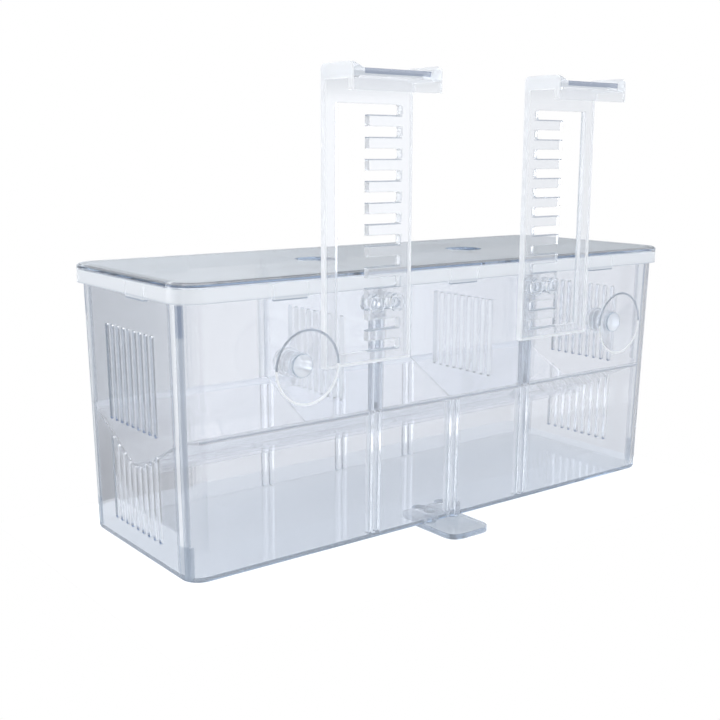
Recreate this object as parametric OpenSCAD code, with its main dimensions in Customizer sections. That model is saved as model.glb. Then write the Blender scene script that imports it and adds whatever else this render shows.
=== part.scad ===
// Fish breeding box that hangs inside an aquarium: a clear tank with a lift-off lid, a V-shaped
// false floor, two slotted dividers, two comb hangers, two suction cups and a stand-off foot.
// Millimetres. X runs along the tank, -Y faces the aquarium glass, Z is up from the tank's underside.

/* [Tank] */
// Outer length at the rim
tank_len = 275; // [256:1:320]
// Outer width at the rim
tank_wid = 94; // [84:1:110]
// Height from the underside to the rim
tank_high = 116; // [108:1:126]
// Wall thickness
wall_t = 2.0; // [1.6:0.1:2.4]
// Floor thickness
floor_t = 2.0; // [1.8:0.1:2.6]
// How far each wall leans in from the rim to the underside
draft = 2.0; // [1:0.5:3]
// Outer corner radius
corner_r = 8; // [6:0.5:12]
// Rounding of the underside's edge
edge_r = 1.2; // [0.6:0.1:1.6]

/* [Lid] */
// Top plate thickness
lid_t = 2.0; // [1.6:0.1:2.6]
// Skirt thickness
skirt_t = 1.8; // [1.4:0.1:2.2]
// Skirt height, with the top plate
skirt_high = 8; // [6:0.5:10]
// Gap between the tank's rim and the skirt on each side
lid_gap = 0.7; // [0.4:0.1:1]
// Bevel along the top edge
lid_bevel = 0.8; // [0.4:0.1:1.2]
// Width of one snap tab
tab_wid = 15.5; // [10:0.5:20]
// How far a snap tab reaches below the skirt
tab_drop = 1.3; // [0.8:0.1:2]
// Width of the cut on each side of a snap tab
tab_cut = 0.9; // [0.6:0.1:1.4]
// Distance from the tank's end to an outer snap tab
tab_inset = 46; // [40:0.5:52]
// Distance from the middle of a short side to its snap tab
end_tab_y = 13.2; // [11:0.1:16]
// Diameter of the finger holes over the dividers
finger_hole_d = 18; // [15:0.5:21]

/* [Guide ribs] */
// Rib thickness
rib_t = 1.6; // [1.2:0.1:2]
// Depth of a lower rib, measured from the wall at the floor
low_rib_depth = 2.5; // [2:0.1:3]
// Depth of an upper rib, measured from the wall at the false floor
high_rib_depth = 2.1; // [1.8:0.1:2.4]
// Distance from the rim down to the top of the upper ribs
rib_drop = 8; // [5:0.5:12]

/* [Water slots] */
// Number of slots in a row
slot_count = 9; // [5:1:11]
// Distance between neighbouring slots
slot_pitch = 5; // [4:0.25:5.5]
// Slot width
slot_wid = 2.0; // [1.4:0.1:2.4]
// Lower end of the lower row
low_slot_z = 10; // [7:0.5:14]
// How far below the tray's surface a slot of the lower row ends
low_slot_margin = 0.4; // [0.2:0.1:2]
// Lower end of the upper row
high_slot_z = 54; // [52:0.5:60]
// Upper end of the upper row
high_slot_top = 95; // [85:0.5:100]

/* [V tray] */
// Height of the tray's edge at the walls
tray_z = 56.7; // [54:0.1:60]
// Sheet thickness
tray_t = 1.2; // [1.0:0.1:2]
// Fall of the tray for each millimetre towards the middle
tray_fall = 0.5; // [0.4:0.02:0.54]
// Width of the gap along the bottom of the V
fry_gap = 4.0; // [3:0.1:5]
// Height of the lips beside the gap
lip_high = 4.2; // [3:0.1:5]
// Width of one bridge across the gap
bridge_wid = 5; // [4:0.5:7]
// Clearance between the tray and the walls and ribs
tray_gap = 0.5; // [0.3:0.1:0.8]

/* [Dividers] */
// Plate thickness
plate_t = 2.0; // [1.6:0.1:2.4]
// Clearance on each side of a plate in its ribs
plate_gap = 0.3; // [0.2:0.05:0.4]
// Height of the finger grip above the plate
grip_high = 2.4; // [1.8:0.1:2.8]
// Width of the finger grip
grip_wid = 11; // [8:0.5:12]

/* [Hangers] */
// Distance from the tank's end to the middle of a hanger
hanger_inset = 82; // [80:0.5:86]
// Hanger width
hanger_wid = 44; // [42:0.5:46]
// Thickness of the comb
comb_t = 2.8; // [2.2:0.1:3.2]
// Width of each upright rail
rail_wid = 6; // [5:0.25:7]
// Length of a tooth
tooth_len = 16.5; // [15.5:0.25:17]
// Height of the opening between two teeth
notch_high = 4.1; // [3.6:0.1:4.6]
// Distance between neighbouring teeth
notch_pitch = 8.6; // [8:0.1:9.2]
// Corner radius at the closed end of an opening
notch_r = 1.2; // [0.6:0.1:1.8]
// Number of openings between teeth
notch_count = 12; // [8:1:14]
// Opening that rests on the studs, counted from the bottom
notch_used = 3; // [2:1:6]
// Height of the bar below the teeth
foot_bar = 5; // [4:0.5:7]
// Height of the bar above the teeth
head_bar = 9.3; // [8:0.1:11]
// Gap between the lid's skirt and the comb
comb_gap = 0.3; // [0.3:0.05:0.8]
// Width of the slot for the aquarium glass
glass_slot = 14.8; // [10:0.2:18]
// Thickness of the hook's top plate
hook_t = 2.7; // [2.2:0.1:3.2]
// Thickness of the hook's lip
hook_lip_t = 2.6; // [2:0.1:3.2]
// How far the lip reaches below the top plate
hook_lip_drop = 5.3; // [4:0.1:8]
// Height of the hook's side arms above the top plate
arm_rise = 2.3; // [1.5:0.1:3]
// Width of a side arm at its base
arm_wid = 5.6; // [4:0.1:7]

/* [Hanger studs] */
// Distance from the tank's rim down to the studs
stud_drop = 11.8; // [11:0.1:16]
// Shank diameter
stud_d = 3.7; // [3:0.1:3.8]
// Collar and head diameter
stud_head_d = 7.5; // [6:0.1:8]
// Head thickness
stud_head_t = 1.4; // [1:0.1:2]
// Distance between the two studs of one hanger
stud_pitch = 10.5; // [9:0.1:11]
// Radial clearance of a stud in the wall
stud_fit = 0.05; // [0.02:0.01:0.1]
// Clearance between the studs and the comb's faces
stud_gap = 0.3; // [0.2:0.05:0.4]

/* [Suction cups] */
// Distance from the tank's end to a cup
cup_inset = 45.5; // [40:0.5:45.5]
// Distance from the tank's rim down to a cup
cup_drop = 32; // [26:0.5:44]
// Rim diameter
cup_d = 30; // [26:0.5:30]
// How far the rim stands out from the wall
cup_reach = 15.3; // [13:0.1:17]
// Neck diameter in the wall
cup_neck_d = 9.2; // [8.6:0.1:9.4]
// Stem diameter outside the wall
cup_stem_d = 10.2; // [9.6:0.1:10.8]
// Diameter of the collar
cup_collar_d = 11.6; // [11.4:0.1:13]
// Diameter of the stem's end inside the cup
cup_hub_d = 9.2; // [8:0.1:9.4]
// Radial clearance of the neck in the wall
cup_fit = 0.1; // [0.05:0.01:0.1]
// Clearance between the wall and the collar
cup_gap = 0.35; // [0.3:0.05:0.5]
// Diameter of the bead that holds the neck inside the wall
bead_d = 10.6; // [10.2:0.1:11]
// Thickness of the bead
bead_t = 0.5; // [0.3:0.05:0.55]

/* [Foot] */
// Width of the tongue
foot_wid = 24; // [22:0.5:30]
// Thickness of the tongue
foot_t = 2.5; // [2:0.1:3]
// Distance from the tank's underside to the tongue
foot_drop = 2.6; // [2:0.1:3.2]
// How far the tip stands out from the tank's underside edge
foot_reach = 14; // [10:0.5:18]
// Length of the tongue under the tank
foot_tail = 24; // [20:0.5:30]
// Radius of the front corners
foot_r = 6; // [3:0.5:8]
// Distance between the two posts
post_pitch = 14; // [14:0.5:16]
// Distance of the posts from the tank's underside edge
post_inset = 8; // [8:0.25:9]
// Post diameter
post_d = 3.8; // [3.2:0.1:4]
// Diameter of a post's head and collar
post_head_d = 6.6; // [6:0.1:6.8]
// Thickness of a post's head
post_head_t = 1.4; // [1:0.1:1.8]
// Clearance around the posts and heads
post_gap = 0.3; // [0.25:0.05:0.4]

/* [Hidden] */
round_fn = 40;
hull_fn = 32;
skin = 0.01;
over = 1;

// Half of the outer and inner sizes at a height above the underside
function lean(z) = draft * (1 - z / tank_high);
function out_x(z) = tank_len / 2 - lean(z);
function out_y(z) = tank_wid / 2 - lean(z);
function in_x(z) = out_x(z) - wall_t;
function in_y(z) = out_y(z) - wall_t;

inner_r = corner_r - wall_t;
// Inset and height of the rounding's facets, as shares of its radius
edge_steps = [[1, 0], [0.3, 0.3], [0, 1]];
stud_z = tank_high - stud_drop;
cup_x = tank_len / 2 - cup_inset;
cup_z = tank_high - cup_drop;
hanger_x = tank_len / 2 - hanger_inset;
tab_x = tank_len / 2 - tab_inset;
lid_len = tank_len + 2 * (lid_gap + skirt_t);
lid_wid = tank_wid + 2 * (lid_gap + skirt_t);
lid_r = corner_r + lid_gap + skirt_t;
lid_top = tank_high + lid_t;
skirt_z = lid_top - skirt_high;
// Distance between a tab's side cuts and the top plate
tab_root = 1;
// How far a tab's barb stands in, and where it is full, starts to fall and ends above the tab's edge
barb_out = 0.5;
barb_full = 0.6;
barb_fall = 1.0;
barb_end = 1.8;
barb_inset = 1;

// The dividers part the tank into three equal rooms
rib_x = (tank_len / 2 - wall_t) / 3;
rib_space = plate_t + 2 * plate_gap;
rib_step = (rib_space + rib_t) / 2;
pair_wid = rib_space + 2 * rib_t;
low_rib_y = in_y(floor_t) - low_rib_depth;
high_rib_y = in_y(tray_z) - high_rib_depth;
// How far a rib reaches into the wall behind it
rib_root = 0.35;
ledge_z = tray_z - tray_t;

tray_half = in_y(ledge_z) - tray_gap;
flange_y = low_rib_y - tray_gap;
gap_y = fry_gap / 2;
lip_y = gap_y + tray_t;
vee_z = tray_z - tray_fall * (flange_y - lip_y);
tray_len = 2 * (in_x(vee_z - lip_high) - tray_gap);
notch_y = high_rib_y - tray_gap;
vee_drop = tray_t * sqrt(1 + tray_fall * tray_fall);

// Distance from the rim down to the top of a divider
plate_drop = 1.2;
// How much higher a divider's slots start than the end walls' slots
plate_slot_rise = 2.6;
plate_low = tray_z + tray_gap;
plate_top = tank_high - plate_drop;

skirt_face = -lid_wid / 2;
comb_back = skirt_face - comb_gap;
comb_face = comb_back - comb_t;
hook_end = comb_face - glass_slot - hook_lip_t;
channel = hanger_wid - 2 * rail_wid - tooth_len;
comb_open = (notch_count - 1) * notch_pitch + notch_high;
comb_z = stud_z - notch_high / 2 - (notch_used - 1) * notch_pitch - foot_bar;
comb_top = comb_z + foot_bar + comb_open + head_bar;
hook_top = comb_top + hook_t;
// Section of a side arm: width at its top, taper towards it, share of the rise under the taper
arm_top_wid = 1.2;
arm_taper = 2;
arm_shoulder = 0.35;
arm_round = 2.4;
arm_foot = 1.0;

// Middle of a hanger's studs, the first of which sits at the closed end of the comb's openings
stud_mid = hanger_x - hanger_wid / 2 + rail_wid + stud_gap + stud_d / 2 + stud_pitch / 2;
// A stud ends just inside the wall's inner face, and its bore runs out past the face
stud_sink = 0.05;
stud_bore_end = 0.3;
// Gap between the wall and a stud's collar
collar_seat = 0.12;

cup_wall = -out_y(cup_z);
bead_gap = 0.15;
bead_bevel = 0.25;
collar_t = 1.3;
collar_fall = 0.5;
rim_bevel = 0.2;
// Thickness of the cup's skin along its axis, and how far the stem's end stands up inside the cup
skin_t = 0.7;
hub_high = 1.1;
// Share of the cup's reach at which the cone leaves the stem
stem_share = 0.66;

foot_tip = -out_y(0) - foot_reach;
foot_back = -out_y(0) + foot_tail;
foot_top = -foot_drop;
foot_low = foot_top - foot_t;
post_y = -out_y(0) + post_inset;
// Solid floor between a post's shank and the keyhole's round end
key_space = 1.4;
key_travel = post_head_d + key_space;
tail_r = 3;

clear_poly = [0.86, 0.90, 0.94];
soft_poly = [0.90, 0.92, 0.94];

// ---------- shared shapes ----------

module round_plate(len, wid, rad, high) {
  linear_extrude(high) {
    square([len - 2 * rad, wid], center = true);
    square([len, wid - 2 * rad], center = true);
    for (sx = [-1, 1], sy = [-1, 1]) {
      translate([sx * (len / 2 - rad), sy * (wid / 2 - rad)]) circle(r = rad, $fn = round_fn);
    }
  }
}

// One ring of a leaning block: half sizes, corner radius, height of its lower face
module ring(half_x, half_y, rad, z) {
  for (sx = [-1, 1], sy = [-1, 1]) {
    translate([sx * (half_x - rad), sy * (half_y - rad), z]) cylinder(r = rad, h = skin, $fn = hull_fn);
  }
}

module lean_block(half_x0, half_y0, half_x1, half_y1, rad, z0, z1) {
  hull() {
    ring(half_x0, half_y0, rad, z0);
    ring(half_x1, half_y1, rad, z1 - skin);
  }
}

// A round rod along Y from y0 up to y1
module rod_y(dia, x, z, y0, y1) {
  translate([x, y0, z]) rotate([-90, 0, 0]) cylinder(d = dia, h = y1 - y0, $fn = round_fn);
}

// Height of the tray's upper surface at a distance from the middle
function vee_height(y) = vee_z + tray_fall * max(0, abs(y) - lip_y);
function slot_y(i) = (i - (slot_count - 1) / 2) * slot_pitch;

// One upright slot through a plate whose faces look along X, with round ends
module slot_x(x, y, z0, z1, deep) {
  translate([x - deep / 2, y - slot_wid / 2, z0 + slot_wid / 2]) {
    cube([deep, slot_wid, z1 - z0 - slot_wid]);
  }
  for (z = [z0 + slot_wid / 2, z1 - slot_wid / 2]) {
    translate([x - deep / 2, y, z]) rotate([0, 90, 0]) cylinder(d = slot_wid, h = deep, $fn = 16);
  }
}

module slot_row(x, z0, z1, deep) {
  for (i = [0 : slot_count - 1]) slot_x(x, slot_y(i), z0, z1, deep);
}

// A row whose upper ends follow the V of the tray
module slot_row_under_vee(x, z0, deep) {
  for (i = [0 : slot_count - 1]) {
    slot_x(x, slot_y(i), z0, vee_height(slot_y(i)) - low_slot_margin, deep);
  }
}

// ---------- tank ----------

module rib_pair(x, y_in, y_out, z0, z1) {
  for (side = [-1, 1], step = [-rib_step, rib_step]) {
    translate([x + step - rib_t / 2, side > 0 ? y_in : -y_out, z0]) {
      cube([rib_t, y_out - y_in, z1 - z0]);
    }
  }
}

module tank_outside() {
  hull() {
    for (step = edge_steps) {
      inset = edge_r * step[0];
      z = edge_r * step[1];
      ring(out_x(z) - inset, out_y(z) - inset, corner_r - inset, z);
    }
    ring(out_x(tank_high), out_y(tank_high), corner_r, tank_high - skin);
  }
}

module tank_shell() {
  difference() {
    tank_outside();
    lean_block(in_x(floor_t), in_y(floor_t), in_x(tank_high + over), in_y(tank_high + over),
      inner_r, floor_t, tank_high + over);
  }
}

module foot_keyholes() {
  for (side = [-1, 1]) {
    translate([side * post_pitch / 2, post_y, -over]) {
      cylinder(d = post_d + 2 * post_gap, h = floor_t + 2 * over, $fn = round_fn);
      translate([-post_d / 2 - post_gap, 0, 0]) {
        cube([post_d + 2 * post_gap, key_travel, floor_t + 2 * over]);
      }
      translate([0, key_travel, 0]) {
        cylinder(d = post_head_d + 2 * post_gap, h = floor_t + 2 * over, $fn = round_fn);
      }
    }
  }
}

module tank() {
  color(clear_poly) difference() {
    union() {
      tank_shell();
      for (x = [-rib_x, 0, rib_x]) {
        rib_pair(x, low_rib_y, in_y(ledge_z) + rib_root, floor_t - skin, ledge_z);
      }
      for (x = [-rib_x, rib_x]) {
        rib_pair(x, high_rib_y, in_y(tray_z) + 2 * rib_root, ledge_z - skin, tank_high - rib_drop);
      }
    }
    for (side = [-1, 1]) {
      slot_row_under_vee(side * out_x((low_slot_z + vee_z) / 2), low_slot_z, 4 * wall_t);
      slot_row(side * out_x((high_slot_z + high_slot_top) / 2), high_slot_z, high_slot_top, 4 * wall_t);
      for (step = [-stud_pitch / 2, stud_pitch / 2]) {
        rod_y(stud_d + 2 * stud_fit, side * (stud_mid + step), stud_z, -out_y(stud_z) - over,
          -in_y(stud_z) + stud_bore_end);
      }
      rod_y(cup_neck_d + 2 * cup_fit, side * cup_x, cup_z, cup_wall - over, cup_wall + wall_t + over);
    }
    foot_keyholes();
  }
}

// ---------- lid ----------

// The two cuts beside a snap tab of a side whose outer face is this far from the middle
module tab_cuts(half) {
  for (side = [-1, 1]) {
    translate([side * (tab_wid + tab_cut) / 2 - tab_cut / 2, half - skirt_t - over, skirt_z - over]) {
      cube([tab_cut, skirt_t + 2 * over, skirt_high - lid_t - tab_root + over]);
    }
  }
}

module tab_tongue(half) {
  translate([-tab_wid / 2, half - skirt_t, skirt_z - tab_drop]) cube([tab_wid, skirt_t, tab_drop + skin]);
  translate([0, half - skirt_t, skirt_z - tab_drop]) rotate([90, 0, 90]) {
    linear_extrude(tab_wid - 2 * barb_inset, center = true) {
      polygon([[skin, 0], [-barb_out, barb_full], [-barb_out, barb_fall], [skin, barb_end]]);
    }
  }
}

// Puts the first child at each tab of the long sides and the second at the tab of each short side
module at_tabs() {
  for (turn = [0, 180], x = [-tab_x, 0, tab_x]) rotate([0, 0, turn]) translate([x, 0, 0]) children(0);
  for (turn = [90, 270]) rotate([0, 0, turn]) translate([-end_tab_y, 0, 0]) children(1);
}

module lid() {
  color(clear_poly) {
    difference() {
      union() {
        translate([0, 0, skirt_z]) round_plate(lid_len, lid_wid, lid_r, skirt_high - lid_bevel);
        lean_block(lid_len / 2, lid_wid / 2, lid_len / 2 - lid_bevel, lid_wid / 2 - lid_bevel, lid_r,
          lid_top - lid_bevel - skin, lid_top);
      }
      translate([0, 0, skirt_z - over]) {
        round_plate(lid_len - 2 * skirt_t, lid_wid - 2 * skirt_t, lid_r - skirt_t,
          skirt_high - lid_t + over);
      }
      at_tabs() {
        tab_cuts(lid_wid / 2);
        tab_cuts(lid_len / 2);
      }
      for (side = [-1, 1]) {
        translate([side * rib_x, 0, tank_high - over]) {
          cylinder(d = finger_hole_d, h = lid_t + 2 * over, $fn = round_fn);
        }
      }
    }
    at_tabs() {
      tab_tongue(lid_wid / 2);
      tab_tongue(lid_len / 2);
    }
  }
}

// ---------- V tray ----------

module tray_half_profile() {
  polygon([
    [gap_y, vee_z - lip_high],
    [lip_y, vee_z - lip_high],
    [lip_y, vee_z - vee_drop],
    [flange_y, ledge_z],
    [tray_half, ledge_z],
    [tray_half, tray_z],
    [flange_y, tray_z],
    [lip_y, vee_z],
    [gap_y, vee_z]
  ]);
}

module v_tray() {
  color(clear_poly) difference() {
    union() {
      rotate([90, 0, 90]) linear_extrude(tray_len, center = true) {
        tray_half_profile();
        mirror([1, 0]) tray_half_profile();
      }
      for (x = [-tray_len / 2 + bridge_wid / 2, -rib_x, 0, rib_x, tray_len / 2 - bridge_wid / 2]) {
        translate([x - bridge_wid / 2, -gap_y - skin, vee_z - tray_t]) {
          cube([bridge_wid, fry_gap + 2 * skin, tray_t]);
        }
      }
    }
    for (x = [-rib_x, rib_x], side = [-1, 1]) {
      translate([x - pair_wid / 2 - tray_gap, side > 0 ? notch_y : -notch_y - 3 * wall_t, ledge_z - over]) {
        cube([pair_wid + 2 * tray_gap, 3 * wall_t, tray_t + 2 * over]);
      }
    }
    for (sx = [-1, 1], sy = [-1, 1]) {
      translate([sx * (in_x(ledge_z) - tray_gap), sy * tray_half, vee_z]) rotate([0, 0, 45]) {
        cube([inner_r, inner_r, 4 * tray_z], center = true);
      }
    }
  }
}

// ---------- dividers ----------

module divider_outline() {
  side_low = in_y(plate_low) - tray_gap;
  side_top = in_y(plate_top) - tray_gap;
  polygon([
    [lip_y, vee_z + tray_gap],
    [flange_y, plate_low],
    [side_low, plate_low],
    [side_top, plate_top],
    [-side_top, plate_top],
    [-side_low, plate_low],
    [-flange_y, plate_low],
    [-lip_y, vee_z + tray_gap]
  ]);
  translate([-grip_wid / 2, plate_top - skin]) square([grip_wid, grip_high + skin]);
}

module divider() {
  color(clear_poly) difference() {
    rotate([90, 0, 90]) linear_extrude(plate_t, center = true) divider_outline();
    slot_row(0, high_slot_z + plate_slot_rise, high_slot_top, 2 * plate_t);
  }
}

module divider_left() {
  translate([-rib_x, 0, 0]) divider();
}

module divider_right() {
  translate([rib_x, 0, 0]) divider();
}

// ---------- hangers ----------

// One opening between two teeth, with its lower closed corner at the origin
module notch_outline() {
  for (z = [notch_r, notch_high - notch_r]) {
    translate([notch_r, z]) circle(r = notch_r, $fn = round_fn);
  }
  translate([0, notch_r]) square([tooth_len + skin, notch_high - 2 * notch_r]);
  translate([notch_r, 0]) square([tooth_len - notch_r + skin, notch_high]);
}

// The comb seen from the glass side: x from the middle of the hanger, teeth from the inner rail
module comb_outline() {
  difference() {
    translate([-hanger_wid / 2, comb_z]) square([hanger_wid, comb_top - comb_z + skin]);
    translate([hanger_wid / 2 - rail_wid - channel, comb_z + foot_bar]) square([channel, comb_open]);
    for (i = [0 : notch_count - 1]) {
      translate([-hanger_wid / 2 + rail_wid, comb_z + foot_bar + i * notch_pitch]) notch_outline();
    }
  }
}

module arm_section() {
  edge = -hanger_wid / 2;
  polygon([
    [edge, comb_top - arm_foot],
    [edge + arm_wid - arm_taper, comb_top - arm_foot],
    [edge + arm_wid - arm_taper / 2, comb_top],
    [edge + arm_wid, hook_top],
    [edge + arm_wid - arm_taper, hook_top + arm_rise * arm_shoulder],
    [edge + arm_top_wid, hook_top + arm_rise],
    [edge, hook_top + arm_rise]
  ]);
}

module arm_side() {
  top = hook_top + arm_rise;
  low = comb_top - arm_foot;
  translate([hook_end, low]) square([comb_back - hook_end, top - arm_round - low]);
  translate([hook_end + arm_round, low]) square([comb_back - hook_end - 2 * arm_round, top - low]);
  for (y = [hook_end + arm_round, comb_back - arm_round]) {
    translate([y, top - arm_round]) circle(r = arm_round, $fn = round_fn);
  }
}

module hook_arm() {
  intersection() {
    translate([0, comb_back, 0]) rotate([90, 0, 0]) linear_extrude(comb_back - hook_end) arm_section();
    rotate([90, 0, 90]) linear_extrude(hanger_wid + 2 * over, center = true) arm_side();
  }
}

module hanger() {
  color(clear_poly) union() {
    translate([0, comb_back, 0]) rotate([90, 0, 0]) linear_extrude(comb_t) comb_outline();
    translate([-hanger_wid / 2, hook_end, comb_top]) cube([hanger_wid, comb_back - hook_end, hook_t]);
    translate([-hanger_wid / 2, hook_end, comb_top - hook_lip_drop]) {
      cube([hanger_wid, hook_lip_t, hook_lip_drop + skin]);
    }
    hook_arm();
    mirror([1, 0, 0]) hook_arm();
  }
}

module hanger_right() {
  translate([hanger_x, 0, 0]) hanger();
}

module hanger_left() {
  mirror([1, 0, 0]) translate([hanger_x, 0, 0]) hanger();
}

// ---------- hanger studs ----------

module stud(x) {
  wall_out = -out_y(stud_z);
  head_y = comb_face - stud_gap - stud_head_t;
  rod_y(stud_head_d, x, stud_z, head_y, head_y + stud_head_t);
  rod_y(stud_d, x, stud_z, head_y, wall_out + wall_t - stud_sink);
  rod_y(stud_head_d, x, stud_z, comb_back + stud_gap, wall_out - collar_seat);
}

module hanger_studs() {
  color(clear_poly) {
    for (side = [-1, 1], step = [-stud_pitch / 2, stud_pitch / 2]) stud(side * (stud_mid + step));
  }
}

// ---------- suction cups ----------

// Radius and distance out from the wall
module cup_profile() {
  rim_r = cup_d / 2;
  stem_r = cup_stem_d / 2;
  neck_r = cup_neck_d / 2;
  hub_r = cup_hub_d / 2;
  stem_end = cup_reach * stem_share;
  cone_end = cup_reach - rim_bevel;
  fall = (cone_end - stem_end) / (rim_r - stem_r);
  bowl_low = stem_end + skin_t - fall * (stem_r - hub_r);
  bead_y = -wall_t - bead_gap;
  polygon([
    [0, bead_y - bead_t],
    [bead_d / 2 - bead_bevel, bead_y - bead_t],
    [bead_d / 2, bead_y - bead_t + bead_bevel],
    [bead_d / 2, bead_y],
    [neck_r, bead_y],
    [neck_r, cup_gap],
    [cup_collar_d / 2, cup_gap],
    [cup_collar_d / 2, cup_gap + collar_t],
    [stem_r, cup_gap + collar_t + collar_fall],
    [stem_r, stem_end],
    [rim_r, cone_end],
    [rim_r - rim_bevel, cup_reach],
    [rim_r - (skin_t - rim_bevel) / fall, cup_reach],
    [hub_r, bowl_low],
    [hub_r, bowl_low + hub_high],
    [0, bowl_low + hub_high]
  ]);
}

module suction_cup(x) {
  color(soft_poly) translate([x, cup_wall, cup_z]) rotate([90, 0, 0]) {
    rotate_extrude($fn = 64) cup_profile();
  }
}

module suction_cup_left() {
  suction_cup(-cup_x);
}

module suction_cup_right() {
  suction_cup(cup_x);
}

// ---------- foot ----------

module foot_outline() {
  half = foot_wid / 2;
  translate([-half, foot_tip + foot_r]) square([foot_wid, foot_back - foot_tip - foot_r - tail_r]);
  translate([-half + foot_r, foot_tip]) square([foot_wid - 2 * foot_r, 2 * foot_r]);
  translate([-half + tail_r, foot_back - 2 * tail_r]) square([foot_wid - 2 * tail_r, 2 * tail_r]);
  for (side = [-1, 1]) {
    translate([side * (half - foot_r), foot_tip + foot_r]) circle(r = foot_r, $fn = round_fn);
    translate([side * (half - tail_r), foot_back - tail_r]) circle(r = tail_r, $fn = round_fn);
  }
}

module foot() {
  color(clear_poly) {
    translate([0, 0, foot_low]) linear_extrude(foot_t) foot_outline();
    for (side = [-1, 1]) {
      translate([side * post_pitch / 2, post_y, foot_top - skin]) {
        cylinder(d = post_head_d, h = foot_drop - post_gap + skin, $fn = round_fn);
        cylinder(d = post_d, h = foot_drop + floor_t + post_gap + post_head_t + skin, $fn = round_fn);
        translate([0, 0, foot_drop + floor_t + post_gap + skin]) {
          cylinder(d = post_head_d, h = post_head_t, $fn = round_fn);
        }
      }
    }
  }
}

tank();
lid();
v_tray();
divider_left();
divider_right();
hanger_left();
hanger_right();
hanger_studs();
suction_cup_left();
suction_cup_right();
foot();
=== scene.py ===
"""A clear fish breeding box on a white table: materials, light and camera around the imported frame."""
import math

import bpy
from mathutils import Euler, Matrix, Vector


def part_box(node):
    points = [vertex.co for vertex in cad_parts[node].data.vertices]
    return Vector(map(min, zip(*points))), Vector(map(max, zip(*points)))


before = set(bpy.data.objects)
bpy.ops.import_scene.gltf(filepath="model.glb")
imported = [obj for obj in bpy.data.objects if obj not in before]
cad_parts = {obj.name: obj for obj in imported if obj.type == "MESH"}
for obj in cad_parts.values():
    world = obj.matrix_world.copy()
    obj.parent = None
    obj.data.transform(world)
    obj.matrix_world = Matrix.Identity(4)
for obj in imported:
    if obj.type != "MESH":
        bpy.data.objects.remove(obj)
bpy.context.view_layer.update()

# Camera of the photograph, in metres and degrees: a lens on a 36 mm sensor over a square picture
CAMERA_AT = (-0.3222, -0.3919, 0.1654)
CAMERA_YAW = 37.69
CAMERA_PITCH = -11.03
CAMERA_ROLL = 0.28
LENS_MM = 53.6
SENSOR_MM = 36.0

# Which finish each CAD node has
CLEAR_NODES = {
    "tank": "shell",
    "lid": "lid",
    "v_tray": "tray",
    "divider_left": "divider",
    "divider_right": "divider",
    "hanger_left": "hanger",
    "hanger_right": "hanger",
    "hanger_studs": "stud",
    "foot": "foot",
    "suction_cup_left": "soft_vinyl",
    "suction_cup_right": "soft_vinyl",
}

# Colours of cloudy plastic, from the lightest to the darkest. The milk is also the plastic's own haze; in the
# marks the white paints highlights and the slate and navy paint shade.
HIGHLIGHT_WHITE = (0.97, 0.975, 0.98)
MILK = (0.95, 0.955, 0.965)
HAZE = (0.84, 0.86, 0.90)
SHADE_SLATE = (0.36, 0.41, 0.48)
SHADE_NAVY = (0.13, 0.18, 0.30)

# Clear plastic: how it bends light, what it lets through onto other surfaces, and what a long way
# through it takes out of the light, per metre
PLASTIC_IOR = 1.49
VINYL_IOR = 1.46
SHADE = (0.985, 0.987, 0.99)
DEPTH_TINT = (0.30, 0.46, 0.64)
DEPTH_DENSITY = 18.0

# Its surface: roughness and haze vary in patches, between these shares of their value, and the moulding's
# flow leaves ripples, this strong and this deep. Each noise is (scale per metre, detail).
MOULDED_ROUGHNESS = 0.02
VINYL_ROUGHNESS = 0.03
ROUGHNESS_SHARES = (0.6, 1.6)
HAZE_SHARES = (0.7, 1.3)
RIPPLE_STRENGTH = 0.05
RIPPLE_DEPTH = 0.001
SMEARS = (60.0, 3.0)
FLOW = (22.0, 1.5)
CLOUDS = (14.0, 2.0)

# The radius that the light sees at every moulded edge, and at the tank's and lid's upright corners
EDGE_RADIUS = 0.0003
CORNER_RADIUS = 0.0010
EDGE_SAMPLES = 4

# Faces picked out by where they lie or look, in metres, each test being (which, part, least, most).
# "Size" is the object coordinate and "Facing" the normal, both without their signs, "Cup" the distance
# from the nearer suction cup's axis and "Notch" the height above the opening below in the combs.
CUP_AT = (0.092, 0.0, 0.084)
NOTCH_PITCH = 0.0086
NOTCH_FROM = (0.0, 0.0, 0.07635)
SIDEWAYS = ("Facing", "X", 0.9, 1.1)
FRONTWAYS = ("Facing", "Y", 0.9, 1.1)
UPWARDS = ("Facing", "Z", 0.4, 1.1)

# The tests from here to the finishes pick where painted highlights and painted shade go, except CORNERS,
# which only sets where edges are eased more.
LOW_RIBS = [("Size", "X", 0.0, 0.06), ("Object", "Z", 0.0025, 0.055)]
FRONT_LOW_RIBS = [("Object", "Y", -0.0418, -0.037), *LOW_RIBS]
BACK_LOW_RIBS = [("Object", "Y", 0.037, 0.0418), *LOW_RIBS]
HIGH_RIBS = [("Size", "X", 0.0415, 0.0488), ("Object", "Z", 0.057, 0.11)]
FRONT_HIGH_RIBS = [("Object", "Y", -0.0449, -0.041), *HIGH_RIBS]
BACK_HIGH_RIBS = [("Object", "Y", 0.041, 0.0449), *HIGH_RIBS]

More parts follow.
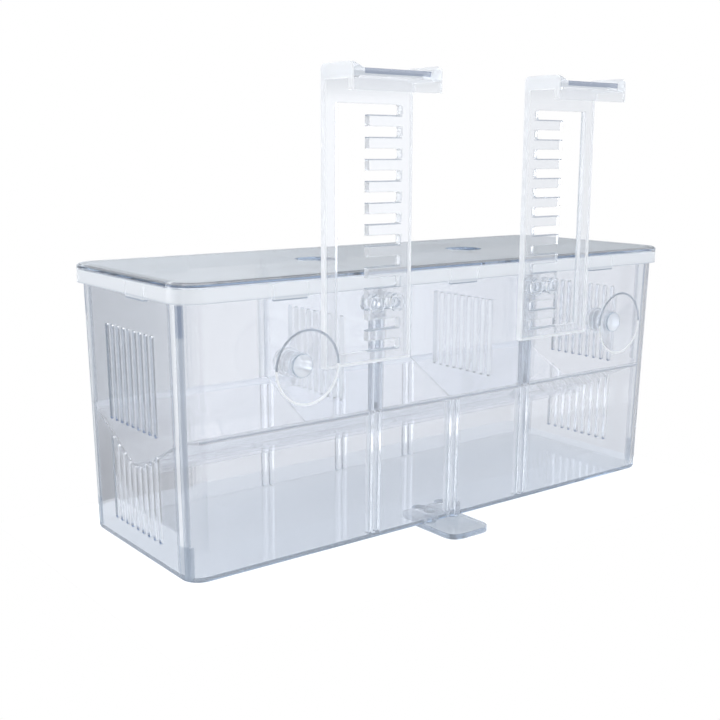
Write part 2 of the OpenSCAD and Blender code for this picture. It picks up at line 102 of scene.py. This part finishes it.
CORNERS = [("Size", "X", 0.1275, 0.138), ("Size", "Y", 0.037, 0.048), ("Object", "Z", 0.0015, 0.117)]
CORNER_LINES = [("Size", "X", 0.1300, 0.1379), ("Size", "Y", 0.0392, 0.0446), ("Facing", "X", 0.80, 0.985)]
CORNER_HEADS = [*CORNER_LINES, ("Object", "Z", 0.097, 0.109)]
CORNER_FEET = [
    ("Size", "X", 0.1300, 0.1379), ("Size", "Y", 0.0360, 0.0442), ("Facing", "X", 0.74, 1.1),
    ("Object", "Z", 0.0005, 0.0145),
]
CORNER_SIDES = [("Size", "X", 0.1345, 0.1380), ("Object", "Z", 0.003, 0.2)]
CORNER_GLINTS = [("Size", "Y", 0.0368, 0.0392), *CORNER_SIDES]
CORNER_SHADES = [("Size", "Y", 0.0345, 0.0368), *CORNER_SIDES]

SLOTTED = ("Size", "Y", 0.0, 0.0215)
HIGH_SLOT_SIDES = [SLOTTED, FRONTWAYS, ("Object", "Z", 0.05, 0.1)]
LOW_SLOT_SIDES = [SLOTTED, FRONTWAYS, ("Object", "Z", 0.005, 0.05)]
SLOT_ENDS = [("Size", "X", 0.13, 0.14), SLOTTED, UPWARDS]
LOW_SLOT_ENDS = [*SLOT_ENDS, ("Object", "Z", 0.0095, 0.0108)]
HIGH_SLOT_ENDS = [*SLOT_ENDS, ("Object", "Z", 0.0535, 0.0548)]

SKIRT = [("Object", "Z", 0.1, 0.1155)]
SKIRT_EDGE = [("Object", "Z", 0.1098, 0.1105)]
TAB_EDGES = [("Object", "Z", 0.1085, 0.1093)]

TRAY_FRONT_EDGE = [("Object", "Y", -0.0437, -0.0432), ("Object", "Z", 0.0559, 0.0568)]
TRAY_BACK = [("Object", "Y", 0.0375, 0.047)]

INNER_RIMS = [("Size", "X", 0.0333, 0.0341), ("Object", "Z", 0.0795, 0.2)]
OUTER_RIMS = [("Size", "X", 0.0769, 0.0777), ("Object", "Z", 0.0795, 0.2)]
LOWER_RIMS = [("Object", "Z", 0.0795, 0.0808)]
RAIL_SIDES = [
    ("Size", "X", 0.0712, 0.0718), SIDEWAYS, ("Object", "Y", -0.0507, -0.0497), ("Object", "Z", 0.083, 0.19),
]
HOOK_FRONT = [
    ("Size", "X", 0.0392, 0.0718), ("Object", "Y", -0.0705, -0.0695), ("Object", "Z", 0.1936, 0.1958),
]
NOTCHED = ("Object", "Z", 0.08, 0.183)
TOOTH_TOPS = [
    ("Size", "X", 0.0392, 0.0562), ("Notch", "Z", NOTCH_PITCH - 0.0005, NOTCH_PITCH + 0.0002), NOTCHED,
]
NOTCH_ENDS = [("Size", "X", 0.0389, 0.0395), ("Notch", "Z", 0.0004, 0.0042), NOTCHED]

STUD_BRIMS = [("Facing", "Z", 0.75, 1.1)]

CUP_RIM = ("Cup", "X", 0.0141, 0.0152)
RIM_ABOVE = [CUP_RIM, ("Object", "Z", 0.084, 0.1)]
RIM_BELOW = [CUP_RIM, ("Object", "Z", 0.068, 0.084)]
HUB = ("Object", "Y", -0.0605, -0.0555)
HUB_RING = [("Cup", "X", 0.0044, 0.0047), HUB]
HUB_END = [("Cup", "X", 0.0, 0.0044), HUB]

# Each finish, as the settings of clear_plastic. A mark is (tests, colour, strength): faces painted cloudier
# in a colour of their own, mostly as painted highlight or painted shade where the real plastic gathers and
# bends light.
FINISHES = {
    "shell": {
        "tint": (0.878, 0.884, 0.903),
        "haze": 0.07,
        # Painted highlights: white on the low ribs, the lower slot sides and the corner glint. Painted shade:
        # slate and navy on the upper front ribs, upper slot sides, corner lines, slot ends and the corner's
        # foot and head. The upper back ribs are made milkier so their lines show less.
        "marks": [
            (FRONT_LOW_RIBS, HIGHLIGHT_WHITE, 0.3), (BACK_LOW_RIBS, HIGHLIGHT_WHITE, 0.35), (FRONT_HIGH_RIBS, SHADE_SLATE, 0.3),
            (BACK_HIGH_RIBS, MILK, 0.6), (HIGH_SLOT_SIDES, SHADE_SLATE, 0.3), (LOW_SLOT_SIDES, HIGHLIGHT_WHITE, 0.15),
            (CORNER_LINES, SHADE_SLATE, 0.45), (CORNER_GLINTS, HIGHLIGHT_WHITE, 0.45), (CORNER_SHADES, SHADE_SLATE, 0.3),
            (LOW_SLOT_ENDS, SHADE_NAVY, 0.8), (HIGH_SLOT_ENDS, SHADE_NAVY, 0.8), (CORNER_FEET, SHADE_SLATE, 0.45),
            (CORNER_HEADS, SHADE_NAVY, 0.35),
        ],
    },
    "lid": {
        "tint": (0.885, 0.905, 0.935),
        "haze": 0.03,
        # The skirt is painted whiter as a painted highlight, and slate lines of painted shade run along its
        # lower edge and the tab edges.
        "marks": [(SKIRT, HIGHLIGHT_WHITE, 0.6), (SKIRT_EDGE, SHADE_SLATE, 0.3), (TAB_EDGES, SHADE_SLATE, 0.8)],
    },
    "tray": {
        "tint": (0.93, 0.935, 0.955),
        "haze": 0.13,
        "density": 5.0,
        # A slate line of painted shade runs along the front edge; the back strip is made hazier and greyer.
        "marks": [(TRAY_BACK, HAZE, 0.45), (TRAY_FRONT_EDGE, SHADE_SLATE, 0.55)],
    },
    "divider": {
        "tint": (0.93, 0.94, 0.955),
        "haze": 0.04,
        # The sides of the upper slots are painted white as painted highlights.
        "marks": [(HIGH_SLOT_SIDES, HIGHLIGHT_WHITE, 0.5)],
    },
    "hanger": {
        "tint": (0.93, 0.933, 0.94),
        "haze": 0.22,
        "density": 12.0,
        # Painted highlights: white on the inner, outer and lower rims. Painted shade: navy on the hook front
        # and slate on the tooth tops, notch ends and rail sides.
        "marks": [
            (INNER_RIMS, HIGHLIGHT_WHITE, 0.7), (OUTER_RIMS, HIGHLIGHT_WHITE, 0.7), (LOWER_RIMS, HIGHLIGHT_WHITE, 0.7),
            (HOOK_FRONT, SHADE_NAVY, 0.55), (TOOTH_TOPS, SHADE_SLATE, 0.5), (NOTCH_ENDS, SHADE_SLATE, 0.3),
            (RAIL_SIDES, SHADE_SLATE, 0.4),
        ],
    },
    "stud": {
        "tint": (0.97, 0.98, 0.99),
        "haze": 0.10,
        "density": 10.0,
        # The up- and down-facing faces of the studs are painted slate as painted shade.
        "marks": [(STUD_BRIMS, SHADE_SLATE, 0.5)],
    },
    "foot": {
        "tint": (0.69, 0.705, 0.725),
        "haze": 0.05,
    },
    "soft_vinyl": {
        "tint": (0.96, 0.965, 0.98),
        "haze": 0.10,
        "density": 12.0,
        "roughness": VINYL_ROUGHNESS,
        "ior": VINYL_IOR,
        "ripple": 0.0,
        # The rim is a painted lit and shaded pair: slate shade above, white highlight below. A slate ring of
        # painted shade circles the hub, whose end is made milkier so it shines less.
        "marks": [
            (RIM_ABOVE, SHADE_SLATE, 0.45), (RIM_BELOW, HIGHLIGHT_WHITE, 0.8), (HUB_RING, SHADE_SLATE, 0.6), (HUB_END, MILK, 0.35),
        ],
    },
}

# The table: half its length and width, how far it lies below the foot, its colours to the camera and through
# the plastic, the second a darker copy as painted shade, its least and most roughness, and the noise between
# those
TABLE_HALF = (0.165, 0.085)
TABLE_DROP = 0.0002
TABLE_WHITE = (0.93, 0.935, 0.94)
TABLE_SHADED_THROUGH = (0.66, 0.68, 0.71)
TABLE_ROUGHNESS = (0.5, 0.7)
TABLE_GRAIN = (400.0, 2.0)

# The studio around the part, seen by bent light only: white cards, black flags and what lies between,
# as (degrees right of +Y, brightness) in rings from the ground up, a few with a tint of their own. Each
# ring has the sines of the heights where it starts and is full, its tint and its cards.
END_TINT = (0.92, 0.955, 1.0)
GROUND_RING = [
    (-180, 0.5), (-110, 0.6), (-68, 0.4), (-64, 2.5), (-31, 2.5), (-29, 0.05), (-21, 0.05),
    (-12, 0.5), (22.5, 0.52), (27, 0.62), (29, 1.05), (41, 0.95), (56, 0.80), (60, 0.6), (100, 0.6),
    (118, 0.8), (151, 0.8), (154, 0.15), (180, 0.5),
]
LOW_RING = [
    (-180, 0.5), (-110, 0.7), (-68, 0.4), (-64, 2.5), (-31, 2.5), (-29, 0.05), (-21, 0.05),
    (-12, 0.7), (22.5, 0.88, END_TINT), (27, 1.0, END_TINT), (29, 1.12), (34, 1.15), (41, 1.15),
    (45, 0.98), (56, 0.92), (60, 0.6), (100, 0.6), (118, 1.0), (151, 1.0), (154, 0.15), (180, 0.5),
]
HIGH_RING = [
    (-180, 1.0), (-68, 0.8), (-64, 2.5), (-31, 2.5), (-28, 0.08), (-21, 0.08),
    (-12, 0.7), (23, 0.76), (31, 0.72), (37, 0.56), (56, 0.53), (60, 0.20), (100, 0.20), (118, 1.0),
    (180, 1.0),
]
CEILING_RING = [(-180, 1.0), (180, 1.0)]
RINGS = [
    (-1.0, -0.9, (0.96, 0.97, 1.0), GROUND_RING),
    (-0.28, -0.22, (0.97, 0.975, 1.0), LOW_RING),
    (0.045, 0.075, (0.90, 0.95, 1.0), HIGH_RING),
    (0.45, 0.60, (1.0, 1.0, 1.0), CEILING_RING),
]

# Lamps as (name, place, length and width, watts), all aimed at one point, in metres
LAMPS = [
    ("ceiling", (0.0, -0.1, 1.3), (1.6, 1.2), 9.0),
    ("key", (-1.2, -0.9, 0.9), (0.7, 1.0), 5.5),
]
LAMP_AIM = (0.0, 0.0, 0.08)

# How often light may pass through plastic, and how often it may bounce off
CLEAR_BOUNCES = 24
GLOSSY_BOUNCES = 8


def node_tree(name):
    """A new material with an empty node tree, and its output node."""
    material = bpy.data.materials.new(name)
    material.use_nodes = True
    tree = material.node_tree
    tree.nodes.clear()
    output = tree.nodes.new("ShaderNodeOutputMaterial")
    return material, tree, output


def noise(tree, kind, coordinates):
    """A 3-D noise of one kind, (scale, detail), over the object's own coordinates in metres."""
    node = tree.nodes.new("ShaderNodeTexNoise")
    node.inputs["Scale"].default_value, node.inputs["Detail"].default_value = kind
    tree.links.new(coordinates, node.inputs["Vector"])
    return node.outputs["Fac"]


def mapped(tree, source, low, high, span=(0.0, 1.0)):
    """The source, which runs over the span, brought to low..high."""
    node = tree.nodes.new("ShaderNodeMapRange")
    node.inputs["From Min"].default_value, node.inputs["From Max"].default_value = span
    node.inputs["To Min"].default_value = low
    node.inputs["To Max"].default_value = high
    tree.links.new(source, node.inputs["Value"])
    return node.outputs["Result"]


def vector_math(tree, operation, vector, other=(0.0, 0.0, 0.0)):
    """A vector operation on a source and, where it takes one, a constant vector."""
    node = tree.nodes.new("ShaderNodeVectorMath")
    node.operation = operation
    tree.links.new(vector, node.inputs[0])
    node.inputs[1].default_value = other
    return node.outputs["Value" if operation == "DISTANCE" else "Vector"]


def where(tree, tests):
    """1 on the faces that pass every test and 0 elsewhere."""
    texture = tree.nodes.new("ShaderNodeTexCoord")
    size = vector_math(tree, "ABSOLUTE", texture.outputs["Object"])
    flat = vector_math(tree, "MULTIPLY", size, (1.0, 0.0, 1.0))
    risen = vector_math(tree, "SUBTRACT", texture.outputs["Object"], NOTCH_FROM)
    sources = {
        "Object": texture.outputs["Object"],
        "Size": size,
        "Facing": vector_math(tree, "ABSOLUTE", texture.outputs["Normal"]),
        "Cup": vector_math(tree, "DISTANCE", flat, CUP_AT),
        "Notch": vector_math(tree, "MODULO", risen, (1.0, 1.0, NOTCH_PITCH)),
    }
    passed = None
    for source, axis, least, most in tests:
        split = tree.nodes.new("ShaderNodeSeparateXYZ")
        tree.links.new(sources[source], split.inputs[0])
        near = tree.nodes.new("ShaderNodeMath")
        near.operation = "COMPARE"
        near.inputs[1].default_value = (least + most) / 2
        near.inputs[2].default_value = (most - least) / 2
        tree.links.new(split.outputs[axis], near.inputs[0])
        if passed is None:
            passed = near.outputs["Value"]
            continue
        both = tree.nodes.new("ShaderNodeMath")
        both.operation = "MULTIPLY"
        tree.links.new(passed, both.inputs[0])
        tree.links.new(near.outputs["Value"], both.inputs[1])
        passed = both.outputs["Value"]
    return passed


def blend(tree, factor, first, second):
    """The first shader, giving way to the second as the factor rises."""
    mix = tree.nodes.new("ShaderNodeMixShader")
    if isinstance(factor, float):
        mix.inputs["Fac"].default_value = factor
    else:
        tree.links.new(factor, mix.inputs["Fac"])
    tree.links.new(first, mix.inputs[1])
    tree.links.new(second, mix.inputs[2])
    return mix.outputs["Shader"]


def light_through(tree, surface):
    """Lets light that falls on other surfaces pass straight through the plastic, only dimmed."""
    path = tree.nodes.new("ShaderNodeLightPath")
    for rays in ("Is Diffuse Ray", "Is Shadow Ray"):
        clear = tree.nodes.new("ShaderNodeBsdfTransparent")
        clear.inputs["Color"].default_value = (*SHADE, 1.0)
        surface = blend(tree, path.outputs[rays], surface, clear.outputs["BSDF"])
    return surface


def milky(tree, colour):
    """The scattering body of cloudy plastic: half passes light on, half throws it back. The marks use it too,
    to paint highlight and shade.
    """
    halves = []
    for kind in ("ShaderNodeBsdfTranslucent", "ShaderNodeBsdfDiffuse"):
        half = tree.nodes.new(kind)
        half.inputs["Color"].default_value = (*colour, 1.0)
        halves.append(half.outputs["BSDF"])
    return blend(tree, 0.5, *halves)


def moulded_normal(tree, coordinates, ripple):
    """Where the surface looks, with its edges eased to a radius and the faint ripples of the flow."""
    eased = tree.nodes.new("ShaderNodeBevel")
    eased.samples = EDGE_SAMPLES
    radius = mapped(tree, where(tree, CORNERS), EDGE_RADIUS, CORNER_RADIUS)
    tree.links.new(radius, eased.inputs["Radius"])
    bump = tree.nodes.new("ShaderNodeBump")
    bump.inputs["Strength"].default_value = ripple
    bump.inputs["Distance"].default_value = RIPPLE_DEPTH
    tree.links.new(noise(tree, FLOW, coordinates), bump.inputs["Height"])
    tree.links.new(eased.outputs["Normal"], bump.inputs["Normal"])
    return bump.outputs["Normal"]


def patchy(tree, kind, coordinates, value, shares):
    """A value that varies over the surface with a noise, between two shares of itself."""
    return mapped(tree, noise(tree, kind, coordinates), *(value * share for share in shares))


def clear_plastic(
    name, tint, haze, roughness=MOULDED_ROUGHNESS, ior=PLASTIC_IOR, ripple=RIPPLE_STRENGTH,
    density=DEPTH_DENSITY, marks=(),
):
    """Moulded clear plastic: refracting and glossy, with faint flow ripples and a little milky haze."""
    material, tree, output = node_tree(name)
    coordinates = tree.nodes.new("ShaderNodeTexCoord").outputs["Object"]
    glass = tree.nodes.new("ShaderNodeBsdfPrincipled")
    glass.inputs["Base Color"].default_value = (*tint, 1.0)
    glass.inputs["Transmission Weight"].default_value = 1.0
    glass.inputs["IOR"].default_value = ior
    rough = patchy(tree, SMEARS, coordinates, roughness, ROUGHNESS_SHARES)
    tree.links.new(rough, glass.inputs["Roughness"])
    tree.links.new(moulded_normal(tree, coordinates, ripple), glass.inputs["Normal"])
    cloudy = patchy(tree, CLOUDS, coordinates, haze, HAZE_SHARES)
    surface = blend(tree, cloudy, glass.outputs["BSDF"], milky(tree, MILK))
    # Each mark paints highlight or shade into the surface as a cloudier layer of its own colour.
    for tests, colour, strength in marks:
        strong = mapped(tree, where(tree, tests), 0.0, strength)
        surface = blend(tree, strong, surface, milky(tree, colour))
    tree.links.new(light_through(tree, surface), output.inputs["Surface"])
    depth = tree.nodes.new("ShaderNodeVolumeAbsorption")
    depth.inputs["Color"].default_value = (*DEPTH_TINT, 1.0)
    depth.inputs["Density"].default_value = density
    tree.links.new(depth.outputs["Volume"], output.inputs["Volume"])
    return material


def floor_material():
    """A plain white table, painted a little greyer as shade where it is seen through the plastic."""
    material, tree, output = node_tree("white_table")
    coordinates = tree.nodes.new("ShaderNodeTexCoord").outputs["Object"]
    grain = noise(tree, TABLE_GRAIN, coordinates)
    halves = []
    for colour in (TABLE_SHADED_THROUGH, TABLE_WHITE):
        shader = tree.nodes.new("ShaderNodeBsdfPrincipled")
        shader.inputs["Base Color"].default_value = (*colour, 1.0)
        tree.links.new(mapped(tree, grain, *TABLE_ROUGHNESS), shader.inputs["Roughness"])
        halves.append(shader.outputs["BSDF"])
    seen = tree.nodes.new("ShaderNodeLightPath")
    tree.links.new(blend(tree, seen.outputs["Is Camera Ray"], *halves), output.inputs["Surface"])
    return material


def dress_cad():
    materials = {finish: clear_plastic("clear_" + finish, **look) for finish, look in FINISHES.items()}
    for node, finish in CLEAR_NODES.items():
        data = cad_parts[node].data
        data.materials.clear()
        data.materials.append(materials[finish])


def add_floor():
    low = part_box("foot")[0].z - TABLE_DROP
    mesh = bpy.data.meshes.new("table_top")
    half_x, half_y = TABLE_HALF
    corners = [(-half_x, -half_y, low), (half_x, -half_y, low), (half_x, half_y, low), (-half_x, half_y, low)]
    mesh.from_pydata(corners, [], [(0, 1, 2, 3)])
    mesh.materials.append(floor_material())
    table = bpy.data.objects.new("table_top", mesh)
    bpy.context.scene.collection.objects.link(table)


def add_lamp(name, at, size, watts):
    light = bpy.data.lights.new(name, "AREA")
    light.shape = "RECTANGLE"
    light.size, light.size_y = size
    light.energy = watts
    lamp = bpy.data.objects.new(name, light)
    lamp.location = at
    lamp.rotation_euler = (Vector(LAMP_AIM) - Vector(at)).to_track_quat("-Z", "Y").to_euler()
    lamp.visible_camera = False
    bpy.context.scene.collection.objects.link(lamp)


def ramp_of(tree, source, stops):
    """The source run through a colour ramp of (position, colour) stops."""
    ramp = tree.nodes.new("ShaderNodeValToRGB")
    tree.links.new(source, ramp.inputs["Fac"])
    elements = ramp.color_ramp.elements
    for element, (position, colour) in zip(elements, (stops[0], stops[-1])):
        element.position, element.color = position, (*colour, 1.0)
    for position, colour in stops[1:-1]:
        elements.new(position).color = (*colour, 1.0)
    return ramp.outputs["Color"]


def card_ring(tree, around, tint, cards):
    """The cards of one height, as a colour for each direction around the part."""
    stops = [
        ((angle + 180) / 360, tuple(level * part for part in (own[0] if own else tint)))
        for angle, level, *own in cards
    ]
    return ramp_of(tree, around, stops)


def add_world():
    """A studio with cards standing around the part and a white ceiling, on a plain white backdrop."""
    world = bpy.data.worlds.new("studio")
    bpy.context.scene.world = world
    world.use_nodes = True
    tree = world.node_tree
    tree.nodes.clear()
    output = tree.nodes.new("ShaderNodeOutputWorld")
    direction = tree.nodes.new("ShaderNodeTexCoord").outputs["Generated"]
    split = tree.nodes.new("ShaderNodeSeparateXYZ")
    tree.links.new(direction, split.inputs[0])
    turn = tree.nodes.new("ShaderNodeMath")
    turn.operation = "ARCTAN2"
    tree.links.new(split.outputs["X"], turn.inputs[0])
    tree.links.new(split.outputs["Y"], turn.inputs[1])
    around = mapped(tree, turn.outputs["Value"], 0.0, 1.0, span=(-math.pi, math.pi))
    sky = card_ring(tree, around, *RINGS[0][2:])
    for start, full, tint, cards in RINGS[1:]:
        mix = tree.nodes.new("ShaderNodeMixRGB")
        height = mapped(tree, split.outputs["Z"], 0.0, 1.0, span=(start, full))
        tree.links.new(height, mix.inputs["Fac"])
        tree.links.new(sky, mix.inputs["Color1"])
        tree.links.new(card_ring(tree, around, tint, cards), mix.inputs["Color2"])
        sky = mix.outputs["Color"]
    room = tree.nodes.new("ShaderNodeBackground")
    tree.links.new(sky, room.inputs["Color"])
    backdrop = tree.nodes.new("ShaderNodeBackground")
    backdrop.inputs["Color"].default_value = (1.0, 1.0, 1.0, 1.0)
    seen = tree.nodes.new("ShaderNodeLightPath").outputs["Is Camera Ray"]
    shown = blend(tree, seen, room.outputs["Background"], backdrop.outputs["Background"])
    tree.links.new(shown, output.inputs["Surface"])


def add_light():
    add_world()
    for lamp in LAMPS:
        add_lamp(*lamp)


def add_camera():
    camera = bpy.data.cameras.new("camera")
    camera.sensor_width = SENSOR_MM
    camera.lens = LENS_MM
    holder = bpy.data.objects.new("camera", camera)
    holder.location = CAMERA_AT
    turn = Euler((math.radians(90 + CAMERA_PITCH), 0, math.radians(-CAMERA_YAW)), "XYZ")
    roll = Euler((0, 0, math.radians(CAMERA_ROLL)), "XYZ")
    holder.rotation_euler = (turn.to_matrix() @ roll.to_matrix()).to_euler()
    bpy.context.scene.collection.objects.link(holder)
    bpy.context.scene.camera = holder


def set_look():
    scene = bpy.context.scene
    scene.view_settings.view_transform = "Standard"
    scene.cycles.max_bounces = CLEAR_BOUNCES
    scene.cycles.transmission_bounces = CLEAR_BOUNCES
    scene.cycles.glossy_bounces = GLOSSY_BOUNCES
    scene.cycles.transparent_max_bounces = CLEAR_BOUNCES
    scene.cycles.caustics_refractive = True


dress_cad()
add_floor()
add_light()
add_camera()
set_look()
